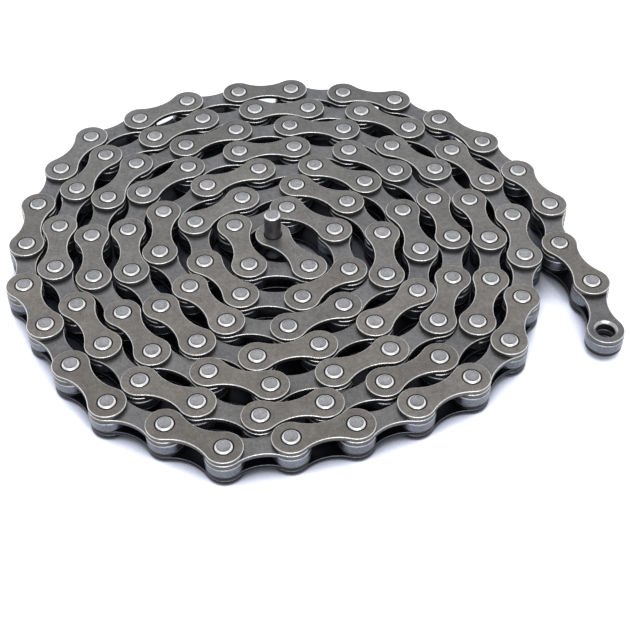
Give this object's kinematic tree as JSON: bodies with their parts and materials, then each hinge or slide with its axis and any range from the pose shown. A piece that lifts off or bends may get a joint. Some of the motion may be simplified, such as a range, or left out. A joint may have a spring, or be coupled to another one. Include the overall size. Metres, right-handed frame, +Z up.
{
  "type": "bicycle chain",
  "caption": "Bicycle chain lying in a flat coil: waisted inner and outer plates, rollers and riveted pins, with a joining pin standing in its middle and an open end.",
  "frame": {"origin": "on the surface under the coil, at the middle of the floor space that the whole chain takes", "axes": "+Z up, along the pins; +X to the right along the longest side, towards the open end of the tail; +Y to the back"},
  "size_m": [0.1282, 0.1176, 0.0127],
  "materials": {
    "outer_plate": "browned steel, satin",
    "inner_plate": "blued steel, satin",
    "pin": "bright steel",
    "roller": "dark polished steel"
  },
  "bodies": {
    "coil": {"coil_outer_plates_upper": "outer_plate", "coil_outer_plates_lower": "outer_plate", "coil_inner_plates_upper": "inner_plate", "coil_inner_plates_lower": "inner_plate", "coil_rollers": "roller", "coil_pins": "pin"},
    "joining_link": {"joining_link_upper_plate": "outer_plate", "joining_link_lower_plate": "outer_plate", "joining_link_riveted_pin": "pin"},
    "joining_pin": {"joining_pin": "pin"},
    "outer_link_14": {"outer_link_14_upper_plate": "outer_plate", "outer_link_14_lower_plate": "outer_plate", "outer_link_14_pins": "pin"},
    "inner_link_13": {"inner_link_13_upper_plate": "inner_plate", "inner_link_13_lower_plate": "inner_plate"},
    "inner_link_13_outer_roller": {"inner_link_13_outer_roller": "roller"},
    "inner_link_13_inner_roller": {"inner_link_13_inner_roller": "roller"},
    "outer_link_12": {"outer_link_12_upper_plate": "outer_plate", "outer_link_12_lower_plate": "outer_plate", "outer_link_12_pins": "pin"},
    "inner_link_11": {"inner_link_11_upper_plate": "inner_plate", "inner_link_11_lower_plate": "inner_plate"},
    "inner_link_11_outer_roller": {"inner_link_11_outer_roller": "roller"},
    "inner_link_11_inner_roller": {"inner_link_11_inner_roller": "roller"},
    "outer_link_10": {"outer_link_10_upper_plate": "outer_plate", "outer_link_10_lower_plate": "outer_plate", "outer_link_10_pins": "pin"},
    "inner_link_09": {"inner_link_09_upper_plate": "inner_plate", "inner_link_09_lower_plate": "inner_plate"},
    "inner_link_09_outer_roller": {"inner_link_09_outer_roller": "roller"},
    "inner_link_09_inner_roller": {"inner_link_09_inner_roller": "roller"},
    "outer_link_08": {"outer_link_08_upper_plate": "outer_plate", "outer_link_08_lower_plate": "outer_plate", "outer_link_08_pins": "pin"},
    "inner_link_07": {"inner_link_07_upper_plate": "inner_plate", "inner_link_07_lower_plate": "inner_plate"},
    "inner_link_07_outer_roller": {"inner_link_07_outer_roller": "roller"},
    "inner_link_07_inner_roller": {"inner_link_07_inner_roller": "roller"},
    "outer_link_06": {"outer_link_06_upper_plate": "outer_plate", "outer_link_06_lower_plate": "outer_plate", "outer_link_06_pins": "pin"},
    "inner_link_05": {"inner_link_05_upper_plate": "inner_plate", "inner_link_05_lower_plate": "inner_plate"},
    "inner_link_05_outer_roller": {"inner_link_05_outer_roller": "roller"},
    "inner_link_05_inner_roller": {"inner_link_05_inner_roller": "roller"},
    "outer_link_04": {"outer_link_04_upper_plate": "outer_plate", "outer_link_04_lower_plate": "outer_plate", "outer_link_04_pins": "pin"},
    "inner_link_03": {"inner_link_03_upper_plate": "inner_plate", "inner_link_03_lower_plate": "inner_plate"},
    "inner_link_03_outer_roller": {"inner_link_03_outer_roller": "roller"},
    "inner_link_03_inner_roller": {"inner_link_03_inner_roller": "roller"},
    "outer_link_02": {"outer_link_02_upper_plate": "outer_plate", "outer_link_02_lower_plate": "outer_plate", "outer_link_02_pins": "pin"},
    "inner_link_01": {"inner_link_01_upper_plate": "inner_plate", "inner_link_01_lower_plate": "inner_plate"},
    "inner_link_01_outer_roller": {"inner_link_01_outer_roller": "roller"},
    "inner_link_01_inner_roller": {"inner_link_01_inner_roller": "roller"}
  },
  "joints": [
    {"name": "joining_link_hinge", "type": "hinge", "parent": "coil", "child": "joining_link", "pos_m": [0.00046, -0.0069, 0.00369], "axis": [0, 0, 1], "range_deg": [-5, 5]},
    {"name": "joining_pin_press", "type": "slide", "parent": "joining_link", "child": "joining_pin", "axis": [0, 0, -1], "range_m": [0, 0.0053]},
    {"name": "hinge_14", "type": "hinge", "parent": "coil", "child": "outer_link_14", "pos_m": [-0.05584, 0.02579, 0.00369], "axis": [0, 0, 1], "range_deg": [0, 51]},
    {"name": "hinge_13", "type": "hinge", "parent": "outer_link_14", "child": "inner_link_13", "pos_m": [-0.05025, 0.0372, 0.00369], "axis": [0, 0, 1], "range_deg": [0, 50]},
    {"name": "inner_link_13_outer_roller_spin", "type": "hinge", "parent": "inner_link_13", "child": "inner_link_13_outer_roller", "pos_m": [-0.0395, 0.04396, 0.00369], "axis": [0, 0, 1], "continuous": true},
    {"name": "inner_link_13_inner_roller_spin", "type": "hinge", "parent": "inner_link_13", "child": "inner_link_13_inner_roller", "pos_m": [-0.05025, 0.0372, 0.00369], "axis": [0, 0, 1], "continuous": true},
    {"name": "hinge_12", "type": "hinge", "parent": "inner_link_13", "child": "outer_link_12", "pos_m": [-0.0395, 0.04396, 0.00369], "axis": [0, 0, 1], "range_deg": [0, 49]},
    {"name": "hinge_11", "type": "hinge", "parent": "outer_link_12", "child": "inner_link_11", "pos_m": [-0.0286, 0.05048, 0.00369], "axis": [0, 0, 1], "range_deg": [0, 46]},
    {"name": "inner_link_11_outer_roller_spin", "type": "hinge", "parent": "inner_link_11", "child": "inner_link_11_outer_roller", "pos_m": [-0.01637, 0.05388, 0.00369], "axis": [0, 0, 1], "continuous": true},
    {"name": "inner_link_11_inner_roller_spin", "type": "hinge", "parent": "inner_link_11", "child": "inner_link_11_inner_roller", "pos_m": [-0.0286, 0.05048, 0.00369], "axis": [0, 0, 1], "continuous": true},
    {"name": "hinge_10", "type": "hinge", "parent": "inner_link_11", "child": "outer_link_10", "pos_m": [-0.01637, 0.05388, 0.00369], "axis": [0, 0, 1], "range_deg": [0, 59]},
    {"name": "hinge_09", "type": "hinge", "parent": "outer_link_10", "child": "inner_link_09", "pos_m": [-0.00371, 0.05491, 0.00369], "axis": [0, 0, 1], "range_deg": [0, 49]},
    {"name": "inner_link_09_outer_roller_spin", "type": "hinge", "parent": "inner_link_09", "child": "inner_link_09_outer_roller", "pos_m": [0.00888, 0.05324, 0.00369], "axis": [0, 0, 1], "continuous": true},
    {"name": "inner_link_09_inner_roller_spin", "type": "hinge", "parent": "inner_link_09", "child": "inner_link_09_inner_roller", "pos_m": [-0.00371, 0.05491, 0.00369], "axis": [0, 0, 1], "continuous": true},
    {"name": "hinge_08", "type": "hinge", "parent": "inner_link_09", "child": "outer_link_08", "pos_m": [0.00888, 0.05324, 0.00369], "axis": [0, 0, 1], "range_deg": [0, 48]},
    {"name": "hinge_07", "type": "hinge", "parent": "outer_link_08", "child": "inner_link_07", "pos_m": [0.0212, 0.05014, 0.00369], "axis": [0, 0, 1], "range_deg": [0, 76]},
    {"name": "inner_link_07_outer_roller_spin", "type": "hinge", "parent": "inner_link_07", "child": "inner_link_07_outer_roller", "pos_m": [0.03133, 0.04249, 0.00369], "axis": [0, 0, 1], "continuous": true},
    {"name": "inner_link_07_inner_roller_spin", "type": "hinge", "parent": "inner_link_07", "child": "inner_link_07_inner_roller", "pos_m": [0.0212, 0.05014, 0.00369], "axis": [0, 0, 1], "continuous": true},
    {"name": "hinge_06", "type": "hinge", "parent": "inner_link_07", "child": "outer_link_06", "pos_m": [0.03133, 0.04249, 0.00369], "axis": [0, 0, 1], "range_deg": [0, 52]},
    {"name": "hinge_05", "type": "hinge", "parent": "outer_link_06", "child": "inner_link_05", "pos_m": [0.04071, 0.03392, 0.00369], "axis": [0, 0, 1], "range_deg": [0, 69]},
    {"name": "inner_link_05_outer_roller_spin", "type": "hinge", "parent": "inner_link_05", "child": "inner_link_05_outer_roller", "pos_m": [0.04779, 0.02338, 0.00369], "axis": [0, 0, 1], "continuous": true},
    {"name": "inner_link_05_inner_roller_spin", "type": "hinge", "parent": "inner_link_05", "child": "inner_link_05_inner_roller", "pos_m": [0.04071, 0.03392, 0.00369], "axis": [0, 0, 1], "continuous": true},
    {"name": "hinge_04", "type": "hinge", "parent": "inner_link_05", "child": "outer_link_04", "pos_m": [0.04779, 0.02338, 0.00369], "axis": [0, 0, 1], "range_deg": [-1, 64]},
    {"name": "hinge_03", "type": "hinge", "parent": "outer_link_04", "child": "inner_link_03", "pos_m": [0.05353, 0.01205, 0.00369], "axis": [0, 0, 1], "range_deg": [-1, 97]},
    {"name": "inner_link_03_outer_roller_spin", "type": "hinge", "parent": "inner_link_03", "child": "inner_link_03_outer_roller", "pos_m": [0.05395, -0.00064, 0.00369], "axis": [0, 0, 1], "continuous": true},
    {"name": "inner_link_03_inner_roller_spin", "type": "hinge", "parent": "inner_link_03", "child": "inner_link_03_inner_roller", "pos_m": [0.05353, 0.01205, 0.00369], "axis": [0, 0, 1], "continuous": true},
    {"name": "hinge_02", "type": "hinge", "parent": "inner_link_03", "child": "outer_link_02", "pos_m": [0.05395, -0.00064, 0.00369], "axis": [0, 0, 1], "range_deg": [-12, 53]},
    {"name": "hinge_01", "type": "hinge", "parent": "outer_link_02", "child": "inner_link_01", "pos_m": [0.0591, -0.01225, 0.00369], "axis": [0, 0, 1], "range_deg": [-25, 138]},
    {"name": "inner_link_01_outer_roller_spin", "type": "hinge", "parent": "inner_link_01", "child": "inner_link_01_outer_roller", "pos_m": [0.06018, -0.02491, 0.00369], "axis": [0, 0, 1], "continuous": true},
    {"name": "inner_link_01_inner_roller_spin", "type": "hinge", "parent": "inner_link_01", "child": "inner_link_01_inner_roller", "pos_m": [0.0591, -0.01225, 0.00369], "axis": [0, 0, 1], "continuous": true}
  ]
}
